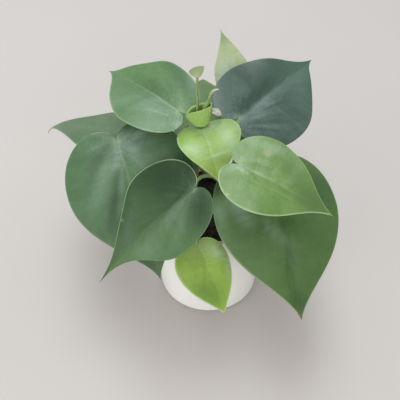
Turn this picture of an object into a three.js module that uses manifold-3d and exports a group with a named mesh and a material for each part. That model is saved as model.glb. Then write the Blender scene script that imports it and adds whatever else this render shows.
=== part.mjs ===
// A young heartleaf philodendron in a plain white pot.
// Millimetres, +Z up, origin at the centre of the pot's foot, on the surface it stands on.
// Each leaf is one solid: a thin heart-shaped blade fused to its petiole.

import * as THREE from 'three';
import { mergeVertices } from 'three/addons/utils/BufferGeometryUtils.js';
import Module from 'manifold-3d';

const wasm = await Module();
wasm.setup();

// Driving dimensions
const GAP = 0.3;
const POT = {
  height: 86, footRadius: 37, footRound: 3, footSteps: 4, rimRadius: 42, rimRound: 1.4, rimSteps: 6,
  wall: 3.2, floor: 4, floorFillet: 3, sides: 48,
};
const SOIL = { top: 78, bump: 1.6, crown: 1.5, rings: 7, footChamfer: 4, seed: 11 };
const VINE = { sides: 8, steps: 8, samples: 200 };

// Blades: thickness, and the grid of each half, from petiole to tip and from midrib to margin
const BLADE = {
  thickness: 0.8, along: 18, outward: 4, smallAlong: 10, smallOutward: 2, ripples: 3, ripplePhase: 1.3,
};

// Petioles: swollen at the vine, sunk under the midrib, and fading out along it at ribShares
const PETIOLE = {
  sides: 6, steps: 9, swell: 1.25, narrow: 0.8, depth: 0.9, smallDepth: 0.5,
  ribShares: [0.06, 0.14, 0.24], ribEnd: 0.3,
};

// Rooted vines, as points from the foot of the hole to the growing tip
const VINES = {
  centre: {
    radius: 2.6, points: [[-9, 4, 20], [-10, 6, 60], [-11, 10, 98], [-8, 17.5, 137], [-6.5, 12.6, 153]],
  },
  right: { radius: 2.3, points: [[14, 2, 20], [15, 4, 60], [16, 8, 88], [17, 12, 110]] },
  left: { radius: 2.3, points: [[-20, 0, 20], [-20, 2, 60], [-22, 7, 84], [-24, 12, 104]] },
};

// Leaves. at is where the petiole meets the blade. azimuth, pitch and roll turn the line
// from there to the tip, in degrees. bend and hook curl the midrib down, fold lifts both
// halves from it, and dome curves each half over. lobe, wide, full and neck shape the
// margin as shares of the length, and skew widens one half against the other.
// rise and reach are the control points of the petiole, on its way up from the vine.
const LEAVES = {
  leaf_a_upper_left: {
    at: [-21.5, 19.5, 157], azimuth: 137, pitch: 0, roll: -18, length: 76, width: 60, bend: 25, fold: 15,
    dome: 0.06, lobe: 0.136, wide: 0.304, full: 0.41, neck: 0.79, skew: 0.1, wave: 0.8,
    vine: 'centre', height: 130, rise: [-12, 19, 136], reach: [-19, 19, 147], colour: 0x5f8a58,
  },
  leaf_b_upper_right: {
    at: [21, 32, 142], azimuth: 47.7, pitch: 4.2, roll: 20.7, length: 92, width: 74.5, bend: 16.6, fold: 6,
    dome: 0.15, lobe: 0.124, wide: 0.286, full: 0.442, neck: 0.777, skew: -0.097, wave: 1.2,
    vine: 'centre', height: 118, rise: [6, 19, 126], reach: [14, 22, 134], colour: 0x40574f,
  },
  leaf_c_lime: {
    at: [-6.3, 10.7, 149.5], azimuth: -69.8, pitch: -30, roll: 9.2, length: 47.6, width: 44.8, bend: 87.5,
    fold: 7.7, dome: 0.122, lobe: 0.136, wide: 0.244, full: 0.368, neck: 0.787, skew: 0.12, wave: 0.5,
    vine: 'centre', height: 139, rise: [-5.4, 12, 140], reach: [-4.6, 8.5, 144], colour: 0x9cc06a,
  },
  leaf_d_front_left: {
    at: [-11.3, -30, 129.6], azimuth: -155, pitch: -40, roll: -3.3, length: 98, width: 78, bend: 27.5,
    fold: 14, dome: 0.14, lobe: 0.087, wide: 0.227, full: 0.431, neck: 0.522, skew: 0.01, wave: 1,
    vine: 'right', height: 88, rise: [12.5, -4, 121], reach: [-12.5, -13, 133], colour: 0x45684b,
  },
  leaf_e_right: {
    at: [17.3, -33.8, 155], azimuth: -24, pitch: -17, roll: 16, length: 70, width: 56, bend: 16, fold: 7,
    dome: 0.1, lobe: 0.136, wide: 0.254, full: 0.4, neck: 0.75, skew: 0.02, wave: 0.8,
    vine: 'right', height: 106, rise: [22, 20, 138], reach: [20, -20, 148], colour: 0x7fa566,
  },
  leaf_f_front_right: {
    at: [39.5, -8, 124], azimuth: -77, pitch: -28.5, roll: 1, length: 106, width: 88, bend: 24, fold: 5,
    dome: 0.17, lobe: 0.157, wide: 0.29, full: 0.43, neck: 0.83, skew: 0.01, wave: 1.2,
    vine: 'right', height: 96, rise: [26, 6, 108], reach: [38, 4, 126], colour: 0x47703f,
  },
  leaf_g_left: {
    at: [-67.3, 15.4, 134], azimuth: -65.7, pitch: -43.6, roll: 11, length: 107, width: 93.5, bend: 28.6,
    fold: 4.5, dome: 0.14, lobe: 0.118, wide: 0.29, full: 0.46, neck: 0.793, skew: 0.025, wave: 1,
    vine: 'left', height: 98, rise: [-40, 22, 124], reach: [-66, 30, 142], colour: 0x4a6c4a,
  },
  leaf_h_rim: {
    at: [-8.7, -50.1, 94.1], azimuth: -61.1, pitch: -39.7, roll: -1.6, length: 51.2, width: 40, bend: 29.4,
    fold: 4.6, dome: 0.16, lobe: 0.095, wide: 0.278, full: 0.423, neck: 0.909, skew: -0.107, wave: 0.5,
    vine: 'centre', height: 86, rise: [-4, -20, 104], reach: [-11, -44, 106], colour: 0x86ad4c,
  },
  leaf_j_far_left: {
    at: [-56.7, 48.4, 116], azimuth: 166.5, pitch: -12, roll: 12, length: 82, width: 65.5, bend: 11,
    hook: 65, fold: 6, dome: 0.13, lobe: 0.17, wide: 0.265, full: 0.347, neck: 0.74, skew: 0.08, wave: 0.6,
    vine: 'left', height: 88, rise: [-32, 22, 102], reach: [-46, 44, 112], colour: 0x5d7a57,
  },
  leaf_k_rear: {
    at: [23, 71, 134], azimuth: 113, pitch: 47, roll: 17, length: 54, width: 37.5, bend: 15, fold: 6,
    dome: 0.115, lobe: 0.171, wide: 0.256, full: 0.41, neck: 0.78, skew: 0, wave: 0.5,
    vine: 'centre', height: 126, rise: [6, 26, 138], reach: [26, 56, 126], colour: 0xa9bc93,
  },
  leaf_l_under: {
    at: [-10, 67.6, 123.2], azimuth: -15.7, pitch: -16.8, roll: 7.5, length: 79, width: 74.5, bend: 0,
    fold: 5, dome: 0.16, lobe: 0.125, wide: -0.048, full: 0.417, neck: 0.8, skew: -0.01, wave: 0.8,
    vine: 'right', height: 91.5, rise: [-2, 20.5, 103.5], reach: [-26, 30, 93.5], colour: 0x55705a,
  },
  leaf_m_newest: {
    at: [-9.6, 18.6, 185.3], azimuth: 56.6, pitch: 26.5, roll: -8.5, length: 9.9, width: 10.6, bend: 4.3,
    fold: 15, dome: 0.1, lobe: -0.042, wide: 0.359, full: 0.412, neck: 1.08, skew: 0.476, wave: 0,
    root: [-8.6, 12.6, 155.4], rise: [-8.8, 12.8, 164], reach: [-9.4, 16, 175], colour: 0x9aa878,
    petioleRadius: 0.9, small: true,
  },
};
const DEFAULT_LEAF = { hook: 0, petioleRadius: 1.5, small: false };

// Sheath: its mouth is higher on the right by slant, with a pointed corner that drops on the left
const SHEATH = {
  foot: [-6.5, 12.3, 151.7], lean: [-1.3, 0.2], footX: 5.2, footY: 3.7, flareX: 9.1, flareY: 4.2, ease: 0.7,
  height: 14.3, slant: 3.2, corner: 5.3, cornerPower: 6, wall: 0.9, sides: 24, steps: 5, floorShare: 0.22,
  colour: 0x9fc46c,
};
const SPIKE = {
  points: [
    [-3.8, 12.6, 155.8], [-3.6, 12.6, 165], [-1.4, 12.9, 171],
    [0.3, 13.6, 176], [2.3, 13.8, 178.8], [5.3, 14, 179.8],
  ],
  radii: [1.8, 2, 1.3, 1.15, 0.9, 0.45], stepsEach: 2, sides: 8, colour: 0xc3cf94,
};
const DRY_SCALE = {
  centre: [4.35, 13.9, 161], size: [3.9, 3.2, 1.6], turn: [0.2, 0.55, 0.3], crumple: 0.18, seed: 5,
  colour: 0xcfc9b4,
};

const rad = THREE.MathUtils.degToRad;
const vec = (p) => new THREE.Vector3(p[0], p[1], p[2]);

function randomSource(seed) {
  let state = seed;
  return () => {
    state = (state * 16807) % 2147483647;
    return state / 2147483647;
  };
}

function material(colour, roughness) {
  return new THREE.MeshStandardMaterial({ color: colour, roughness, metalness: 0 });
}

// Geometry from points and faces, with shared points merged and empty triangles dropped
function closedGeometry(points, faces) {
  const raw = new THREE.BufferGeometry();
  raw.setAttribute('position', new THREE.Float32BufferAttribute(points.flatMap((p) => [p.x, p.y, p.z]), 3));
  raw.setIndex(faces.flat());
  return weld(raw);
}

function weld(geometry) {
  const bare = geometry.clone();
  bare.deleteAttribute('normal');
  bare.deleteAttribute('uv');
  const merged = mergeVertices(bare, 1e-3);
  const index = merged.getIndex().array;
  const kept = [];
  for (let i = 0; i < index.length; i += 3) {
    const [a, b, c] = [index[i], index[i + 1], index[i + 2]];
    if (a !== b && b !== c && a !== c) kept.push(a, b, c);
  }
  merged.setIndex(kept);
  return merged;
}

function toSolid(geometry) {
  const welded = weld(geometry);
  return new wasm.Manifold(new wasm.Mesh({
    numProp: 3,
    vertProperties: new Float32Array(welded.getAttribute('position').array),
    triVerts: new Uint32Array(welded.getIndex().array),
  }));
}

function toGeometry(solid) {
  const mesh = solid.getMesh();
  const geometry = new THREE.BufferGeometry();
  geometry.setAttribute('position', new THREE.BufferAttribute(new Float32Array(mesh.vertProperties), 3));
  geometry.setIndex(new THREE.BufferAttribute(new Uint32Array(mesh.triVerts), 1));
  return geometry;
}

function namedMesh(name, geometry, colour, roughness = 0.5) {
  const mesh = new THREE.Mesh(geometry, material(colour, roughness));
  mesh.name = name;
  return mesh;
}

// A closed round tube along points, with its own radius at each
function taperedTube(path, radii, sides) {
  const points = [];
  const faces = [];
  const tangents = path.map((p, i) => {
    const before = path[Math.max(i - 1, 0)];
    const after = path[Math.min(i + 1, path.length - 1)];
    return after.clone().sub(before).normalize();
  });
  let across = new THREE.Vector3(1, 0, 0);
  if (Math.abs(tangents[0].x) > 0.9) across = new THREE.Vector3(0, 1, 0);
  path.forEach((p, i) => {
    across.addScaledVector(tangents[i], -across.dot(tangents[i])).normalize();
    const up = tangents[i].clone().cross(across);
    for (let k = 0; k < sides; k += 1) {
      const angle = (2 * Math.PI * k) / sides;
      points.push(p.clone()
        .addScaledVector(across, radii[i] * Math.cos(angle))
        .addScaledVector(up, radii[i] * Math.sin(angle)));
    }
  });
  const last = (path.length - 1) * sides;
  for (let i = 0; i < path.length - 1; i += 1) {
    for (let k = 0; k < sides; k += 1) {
      const a = i * sides + k;
      const b = i * sides + ((k + 1) % sides);
      faces.push([a, b, b + sides], [a, b + sides, a + sides]);
    }
  }
  for (let k = 1; k < sides - 1; k += 1) {
    faces.push([0, k + 1, k], [last, last + k, last + k + 1]);
  }
  return closedGeometry(points, faces);
}

// Vines
function vineCurve(vine) {
  return new THREE.CatmullRomCurve3(vine.points.map(vec));
}

function vineTube(vine, extra) {
  const path = vineCurve(vine).getPoints(VINE.steps);
  const along = path[1].clone().sub(path[0]).normalize();
  const top = path[path.length - 1].clone().sub(path[path.length - 2]).normalize();
  path[0].addScaledVector(along, -extra);
  path[path.length - 1].addScaledVector(top, extra);
  return taperedTube(path, path.map(() => vine.radius + extra), VINE.sides);
}

function pointAtHeight(vine, height) {
  const samples = vineCurve(vine).getPoints(VINE.samples);
  return samples.find((p) => p.z >= height) ?? samples[samples.length - 1];
}

// Leaf outline and surface
const LOBE_END = 0.42;

function bezier(p0, p1, p2, p3, t) {
  const w = 1 - t;
  return w * w * w * p0 + 3 * w * w * t * p1 + 3 * w * t * t * p2 + t * t * t * p3;
}

// Margin of one half: s runs from the petiole round the lobe to the tip
function margin(leaf, s) {
  const { lobe, wide, full, neck } = leaf;
  if (s <= LOBE_END) {
    const t = s / LOBE_END;
    return [bezier(0, -1.56 * lobe, -1.02 * lobe, wide, t), bezier(0, 0.08, 1, 1, t)];
  }
  const t = (s - LOBE_END) / (1 - LOBE_END);
  return [bezier(wide, wide + 0.75 * full, neck, 1, t), bezier(1, 1, 0.1, 0, t)];
}

// Where the side vein that ends at s leaves the midrib, as a share of the length
const VEIN = { slow: 0.06, start: 0.18, power: 1.25 };

function veinFoot(s) {
  return VEIN.slow * s + (1 - VEIN.slow) * Math.max(0, (s - VEIN.start) / (1 - VEIN.start)) ** VEIN.power;
}

// The vein that leaves the midrib near this share of its length
function footVein(share) {
  return VEIN.start + (1 - VEIN.start) * ((share / (1 - VEIN.slow)) ** (1 / VEIN.power));
}

// The midrib as a curved line in its own plane, from behind the petiole to the tip
function midribCurve(leaf) {
  const steps = 65;
  const start = -0.3;
  const heading = (t) => -rad(leaf.bend) * t - rad(leaf.hook) * Math.max(0, (t - 0.75) / 0.25) ** 2;
  const line = [{ t: start, x: 0, z: 0 }];
  for (let i = 1; i <= steps; i += 1) {
    const t0 = start + ((1 - start) * (i - 1)) / steps;
    const t1 = start + ((1 - start) * i) / steps;
    const middle = heading((t0 + t1) / 2);
    const last = line[line.length - 1];
    line.push({ t: t1, x: last.x + (t1 - t0) * Math.cos(middle), z: last.z + (t1 - t0) * Math.sin(middle) });
  }
  const at = (t) => {
    const place = ((t - start) / (1 - start)) * steps;
    const i = Math.min(Math.max(Math.floor(place), 0), steps - 1);
    const f = place - i;
    return [
      line[i].x + f * (line[i + 1].x - line[i].x),
      line[i].z + f * (line[i + 1].z - line[i].z),
    ];
  };
  const origin = at(0);
  const tip = at(1);
  const lift = Math.atan2(tip[1] - origin[1], tip[0] - origin[0]);
  return (t) => {
    const [x, z] = at(t);
    const dx = x - origin[0];
    const dz = z - origin[1];
    return {
      x: dx * Math.cos(lift) + dz * Math.sin(lift),
      z: -dx * Math.sin(lift) + dz * Math.cos(lift),
      heading: heading(t) - lift,
    };
  };
}

function leafFrame(leaf) {
  const [azimuth, pitch, roll] = [rad(leaf.azimuth), rad(leaf.pitch), rad(leaf.roll)];
  const along = new THREE.Vector3(
    Math.cos(azimuth) * Math.cos(pitch), Math.sin(azimuth) * Math.cos(pitch), Math.sin(pitch));
  const level = new THREE.Vector3(-Math.sin(azimuth), Math.cos(azimuth), 0);
  const above = along.clone().cross(level);
  const across = level.clone().multiplyScalar(Math.cos(roll)).addScaledVector(above, Math.sin(roll));
  const normal = along.clone().cross(across);
  return new THREE.Matrix4().makeBasis(along, across, normal).setPosition(vec(leaf.at));
}

// Middle of the blade at vein s and share q of the way to the margin, on one side,
// moved by lift along the blade's own normal
function bladePoint(leaf, rib, frame, side, s, q, lift) {
  const [marginAlong, marginAcross] = margin(leaf, s);
  const foot = veinFoot(s);
  const half = leaf.width / 2;
  const u = foot + (marginAlong - foot) * q;
  const v = marginAcross * q * half * (1 + side * leaf.skew);
  const rise = Math.tan(rad(leaf.fold));
  const ripple = leaf.wave * q * q * Math.sin(Math.PI * s)
    * Math.sin(2 * BLADE.ripples * Math.PI * s + BLADE.ripplePhase * side);
  const height = rise * v - (leaf.dome * v * v) / half + ripple;
  const slope = rise - (leaf.dome * v) / half;
  const across = (side * v) / Math.sqrt(1 + slope * slope);
  const { x, z, heading } = rib(u);
  const tilt = v > 1e-6 ? side * (rise - (2 * leaf.dome * v) / half) : 0;
  const steep = Math.sqrt(1 + tilt * tilt);
  const out = height + lift / steep;
  return new THREE.Vector3(
    x * leaf.length - out * Math.sin(heading),
    across - (lift * tilt) / steep,
    z * leaf.length + out * Math.cos(heading),
  ).applyMatrix4(frame);
}

// Both faces share one grid and one way of splitting it, so a waved blade never crosses itself
function bladeGeometry(leaf, rib, frame) {
  const along = leaf.small ? BLADE.smallAlong : BLADE.along;
  const outward = leaf.small ? BLADE.smallOutward : BLADE.outward;
  const columns = 2 * outward + 1;
  const points = [];
  const faces = [];
  for (const lift of [BLADE.thickness / 2, -BLADE.thickness / 2]) {
    for (let i = 0; i <= along; i += 1) {
      for (let j = -outward; j <= outward; j += 1) {
        points.push(bladePoint(leaf, rib, frame, j < 0 ? -1 : 1, i / along, Math.abs(j) / outward, lift));
      }
    }
  }
  const under = (along + 1) * columns;
  for (let i = 0; i < along; i += 1) {
    for (let j = 0; j < columns - 1; j += 1) {
      const a = i * columns + j;
      const [b, c, d] = [a + 1, a + columns, a + columns + 1];
      const cells = j < outward ? [[a, c, d], [a, d, b]] : [[a, c, b], [b, c, d]];
      cells.forEach(([p, q, r]) => faces.push([p, q, r], [under + p, under + r, under + q]));
    }
    for (const edge of [0, columns - 1]) {
      const a = i * columns + edge;
      const c = a + columns;
      const band = [[a, under + a, under + c], [a, under + c, c]];
      band.forEach(([p, q, r]) => faces.push(edge === 0 ? [p, q, r] : [p, r, q]));
    }
  }
  return closedGeometry(points, faces);
}

// The petiole rises from the axis of its vine and runs on under the midrib, where it tapers away
function petioleGeometry(leaf, rib, frame) {
  const root = leaf.root ? vec(leaf.root) : pointAtHeight(VINES[leaf.vine], leaf.height);
  const radius = leaf.petioleRadius;
  const { steps, swell, narrow, ribShares, ribEnd } = PETIOLE;
  const under = leaf.small ? PETIOLE.smallDepth : PETIOLE.depth;
  const join = bladePoint(leaf, rib, frame, 1, 0.001, 0, -under);
  const curve = new THREE.CubicBezierCurve3(root, vec(leaf.rise), vec(leaf.reach), join);
  const path = curve.getPoints(steps);
  const radii = path.map((p, i) => radius * (swell + ((narrow - swell) * i) / steps));
  ribShares.forEach((share, i) => {
    const fade = (i + 1) / ribShares.length;
    const s = footVein(share);
    path.push(bladePoint(leaf, rib, frame, 1, s, 0, -under * (1 - fade)));
    radii.push(radius * narrow * (1 - fade) + ribEnd * fade);
  });
  return taperedTube(path, radii, PETIOLE.sides);
}

function leafMesh(name, measures) {
  const leaf = { ...DEFAULT_LEAF, ...measures };
  const rib = midribCurve(leaf);
  const frame = leafFrame(leaf);
  let solid = toSolid(bladeGeometry(leaf, rib, frame)).add(toSolid(petioleGeometry(leaf, rib, frame)));
  if (leaf.vine) solid = solid.subtract(toSolid(vineTube(VINES[leaf.vine], GAP)));
  return namedMesh(name, toGeometry(solid), leaf.colour);
}

// Pot: a slightly flared wall with a rounded foot and rim, open at the top
function potInnerRadius(height) {
  const wallFoot = POT.footRadius + POT.footRound;
  return wallFoot + ((POT.rimRadius - wallFoot) * height) / POT.height - POT.wall;
}

function potMesh() {
  const { height, footRadius, footRound, footSteps, floor, floorFillet } = POT;
  const { rimRadius, rimRound, rimSteps } = POT;
  const profile = [new THREE.Vector2(0, 0)];
  for (let i = 0; i <= footSteps; i += 1) {
    const angle = (Math.PI / 2) * (i / footSteps);
    profile.push(new THREE.Vector2(
      footRadius + footRound * Math.sin(angle), footRound * (1 - Math.cos(angle))));
  }
  const inner = potInnerRadius(height);
  const middle = (rimRadius + inner) / 2;
  const rimHalf = (rimRadius - inner) / 2;
  for (let i = 0; i <= rimSteps; i += 1) {
    const angle = Math.PI * (i / rimSteps);
    profile.push(new THREE.Vector2(
      middle + rimHalf * Math.cos(angle), height - rimRound + rimRound * Math.sin(angle)));
  }
  profile.push(new THREE.Vector2(potInnerRadius(floor + floorFillet), floor + floorFillet));
  profile.push(new THREE.Vector2(potInnerRadius(floor) - floorFillet, floor));
  profile.push(new THREE.Vector2(0, floor));
  const geometry = new THREE.LatheGeometry(profile, POT.sides);
  geometry.rotateX(Math.PI / 2);
  return namedMesh('pot', weld(geometry), 0xe4e1dc, 0.35);
}

// Soil: fills the pot and rises a little to its middle, uneven on top, with a plain hole for each vine
function soilMesh() {
  const random = randomSource(SOIL.seed);
  const { top, bump, crown, rings, footChamfer } = SOIL;
  const { sides } = POT;
  const bottom = POT.floor + GAP;
  const edge = (height) => potInnerRadius(height) - GAP;
  const points = [new THREE.Vector3(0, 0, top + crown)];
  const faces = [];
  for (let r = 1; r <= rings; r += 1) {
    const share = r / rings;
    for (let k = 0; k < sides; k += 1) {
      const angle = (2 * Math.PI * k) / sides;
      const lump = r < rings ? bump * (random() - 0.5) * 2 : 0;
      const radius = edge(top) * share;
      points.push(new THREE.Vector3(
        radius * Math.cos(angle), radius * Math.sin(angle), top + crown * (1 - share * share) + lump));
    }
  }
  const ring = (r, k) => 1 + (r - 1) * sides + (k % sides);
  const shoulder = bottom + footChamfer;
  for (const [radius, height] of [[edge(shoulder), shoulder], [edge(bottom) - footChamfer, bottom]]) {
    for (let k = 0; k < sides; k += 1) {
      const angle = (2 * Math.PI * k) / sides;
      points.push(new THREE.Vector3(radius * Math.cos(angle), radius * Math.sin(angle), height));
    }
  }
  points.push(new THREE.Vector3(0, 0, bottom));
  for (let k = 0; k < sides; k += 1) {
    faces.push([0, ring(1, k), ring(1, k + 1)]);
    for (let r = 1; r < rings + 2; r += 1) {
      faces.push([ring(r, k), ring(r + 1, k), ring(r + 1, k + 1)]);
      faces.push([ring(r, k), ring(r + 1, k + 1), ring(r, k + 1)]);
    }
    faces.push([ring(rings + 2, k), points.length - 1, ring(rings + 2, k + 1)]);
  }
  let solid = toSolid(closedGeometry(points, faces));
  Object.values(VINES).forEach((vine) => {
    solid = solid.subtract(toSolid(vineTube(vine, GAP)));
  });
  return namedMesh('soil', toGeometry(solid), 0x2b221c, 0.95);
}

// Sheath: a thin cup round the growing tip, flared wider than deep and higher on its right
function sheathMesh() {
  const { foot, lean, footX, footY, flareX, flareY, wall, sides, steps, floorShare } = SHEATH;
  const points = [];
  const faces = [];
  const ringAt = (share, inset) => {
    const ease = share ** SHEATH.ease;
    for (let k = 0; k < sides; k += 1) {
      const angle = (2 * Math.PI * k) / sides;
      const drop = SHEATH.corner * Math.max(0, -Math.cos(angle)) ** SHEATH.cornerPower;
      const reach = SHEATH.height + SHEATH.slant * Math.cos(angle) - drop;
      points.push(new THREE.Vector3(
        foot[0] + lean[0] * share + (footX + (flareX - footX) * ease - inset) * Math.cos(angle),
        foot[1] + lean[1] * share + (footY + (flareY - footY) * ease - inset) * Math.sin(angle),
        foot[2] + reach * share));
    }
  };
  for (let i = 0; i <= steps; i += 1) ringAt(i / steps, 0);
  for (let i = 0; i <= steps; i += 1) ringAt(1 + (floorShare - 1) * (i / steps), wall);
  const rings = 2 * (steps + 1);
  const low = points.length;
  points.push(vec(foot));
  points.push(vec(foot).add(vec([0, lean[1] * floorShare, SHEATH.height * floorShare])));
  for (let k = 0; k < sides; k += 1) {
    const next = (k + 1) % sides;
    for (let r = 0; r < rings - 1; r += 1) {
      faces.push([r * sides + k, r * sides + next, (r + 1) * sides + next]);
      faces.push([r * sides + k, (r + 1) * sides + next, (r + 1) * sides + k]);
    }
    faces.push([low, next, k], [low + 1, (rings - 1) * sides + k, (rings - 1) * sides + next]);
  }
  const solid = toSolid(closedGeometry(points, faces)).subtract(toSolid(vineTube(VINES.centre, GAP)));
  return namedMesh('sheath', toGeometry(solid), SHEATH.colour);
}

// Unopened leaf: a curved spike out of the sheath, thick where it is still wrapped
function spikeMesh() {
  const { points, radii, stepsEach, sides } = SPIKE;
  const steps = stepsEach * (points.length - 1);
  const path = new THREE.CatmullRomCurve3(points.map(vec)).getPoints(steps);
  const radiusAt = (i) => {
    const before = Math.min(Math.floor(i / stepsEach), radii.length - 2);
    return THREE.MathUtils.lerp(radii[before], radii[before + 1], i / stepsEach - before);
  };
  return namedMesh('leaf_spike', taperedTube(path, path.map((p, i) => radiusAt(i)), sides), SPIKE.colour);
}

// Dry scale: a crumpled papery scrap left of an old sheath
function dryScaleMesh() {
  const random = randomSource(DRY_SCALE.seed);
  const geometry = weld(new THREE.IcosahedronGeometry(1, 1));
  const position = geometry.getAttribute('position');
  for (let i = 0; i < position.count; i += 1) {
    const swell = 1 + DRY_SCALE.crumple * (random() - 0.5) * 2;
    position.setXYZ(i, position.getX(i) * swell, position.getY(i) * swell, position.getZ(i) * swell);
  }
  geometry.scale(...DRY_SCALE.size);
  geometry.rotateX(DRY_SCALE.turn[0]);
  geometry.rotateY(DRY_SCALE.turn[1]);
  geometry.rotateZ(DRY_SCALE.turn[2]);
  geometry.translate(...DRY_SCALE.centre);
  return namedMesh('dry_scale', geometry, DRY_SCALE.colour, 0.85);
}

const group = new THREE.Group();
group.add(potMesh(), soilMesh());
Object.entries(VINES).forEach(([name, vine]) => {
  group.add(namedMesh(`vine_${name}`, vineTube(vine, 0), 0x6f8046));
});
Object.entries(LEAVES).forEach(([name, measures]) => group.add(leafMesh(name, measures)));
group.add(sheathMesh(), spikeMesh(), dryScaleMesh());

export default group;
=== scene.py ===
# A young heartleaf philodendron in a plain white pot: its looks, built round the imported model.
# Shapes are worked out in millimetres, in the model's own frame, and turned into metres when a mesh is made.

import math
from types import SimpleNamespace

import bmesh
import bpy
import numpy as np
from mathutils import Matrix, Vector


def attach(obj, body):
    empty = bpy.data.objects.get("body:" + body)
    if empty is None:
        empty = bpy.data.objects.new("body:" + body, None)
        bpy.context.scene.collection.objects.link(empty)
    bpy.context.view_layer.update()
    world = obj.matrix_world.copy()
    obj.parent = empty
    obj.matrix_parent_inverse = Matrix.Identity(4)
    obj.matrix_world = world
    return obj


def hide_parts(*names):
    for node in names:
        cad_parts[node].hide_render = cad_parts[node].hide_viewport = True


MM = 0.001

# Pot, soil and vines, as in the model's source, and the ring and recess under the pot's foot. A vine has its
# radius, then the points of its line.
POT = {
    "height": 86, "foot_radius": 37, "foot_round": 3, "rim_radius": 42, "rim_round": 1.4,
    "wall": 3.2, "floor": 4, "foot_ring": 2, "recess": 1.2, "corner": 4,
}
SOIL = {"top": 78, "crown": 1.5, "gap": 0.3}
VINES = {
    "vine_centre": (2.6, [(-9, 4, 20), (-10, 6, 60), (-11, 10, 98), (-8, 17.5, 137), (-6.5, 12.6, 153)]),
    "vine_right": (2.3, [(14, 2, 20), (15, 4, 60), (16, 8, 88), (17, 12, 110)]),
    "vine_left": (2.3, [(-20, 0, 20), (-20, 2, 60), (-22, 7, 84), (-24, 12, 104)]),
}

# Leaves. First come the measures, as in the model's source: where the blade starts, its azimuth, pitch and
# roll, its length and width, its outline (lobe, widest place, fullness and neck), its curve (bend, fold and
# dome), how much wider its left half is, the wave of its margin, its vine and the height on it, and the
# handles of its petiole. Then comes the look: the colours, deep, light and at the outer end, in linear light,
# the painted shading of the right and the left half, seen from the petiole, lighter or darker as the light
# falls on them, the strength of the midrib's line, how pale the margin is on each half and on each lobe, the
# height of the soft rays, depth and width of the hollow along the midrib, where the end colour sets in, the
# depth of the midrib's groove, how much of the tip is dry, the painted sheen on the fine grain, the blemishes
# with their radius and strength, and the folds and painted light. Each is a soft stroke from one place to
# another, with its width, how much painted sheen it lays on the skin, or painted shade below 0, and its
# depth if it has one, as a fold. Places are along the midrib and to the left of it, in the flat of the blade.
LEAF_DEFAULTS = {
    "hook": 0, "petiole": 1.5, "small": False, "slot": "leaf_dark", "rough": 0.42, "gloss": 0.62,
    "halves": (1, 1), "rib": 0, "rims": (0, 0), "lobe_rims": (0, 0), "ray": 0.25, "hollow": (0.3, 6),
    "turn": (0.35, 1), "groove": 0.16, "tip": 0.02, "sheen_grain": 0.04, "marks": [], "folds_and_shading": [],
}
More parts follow.
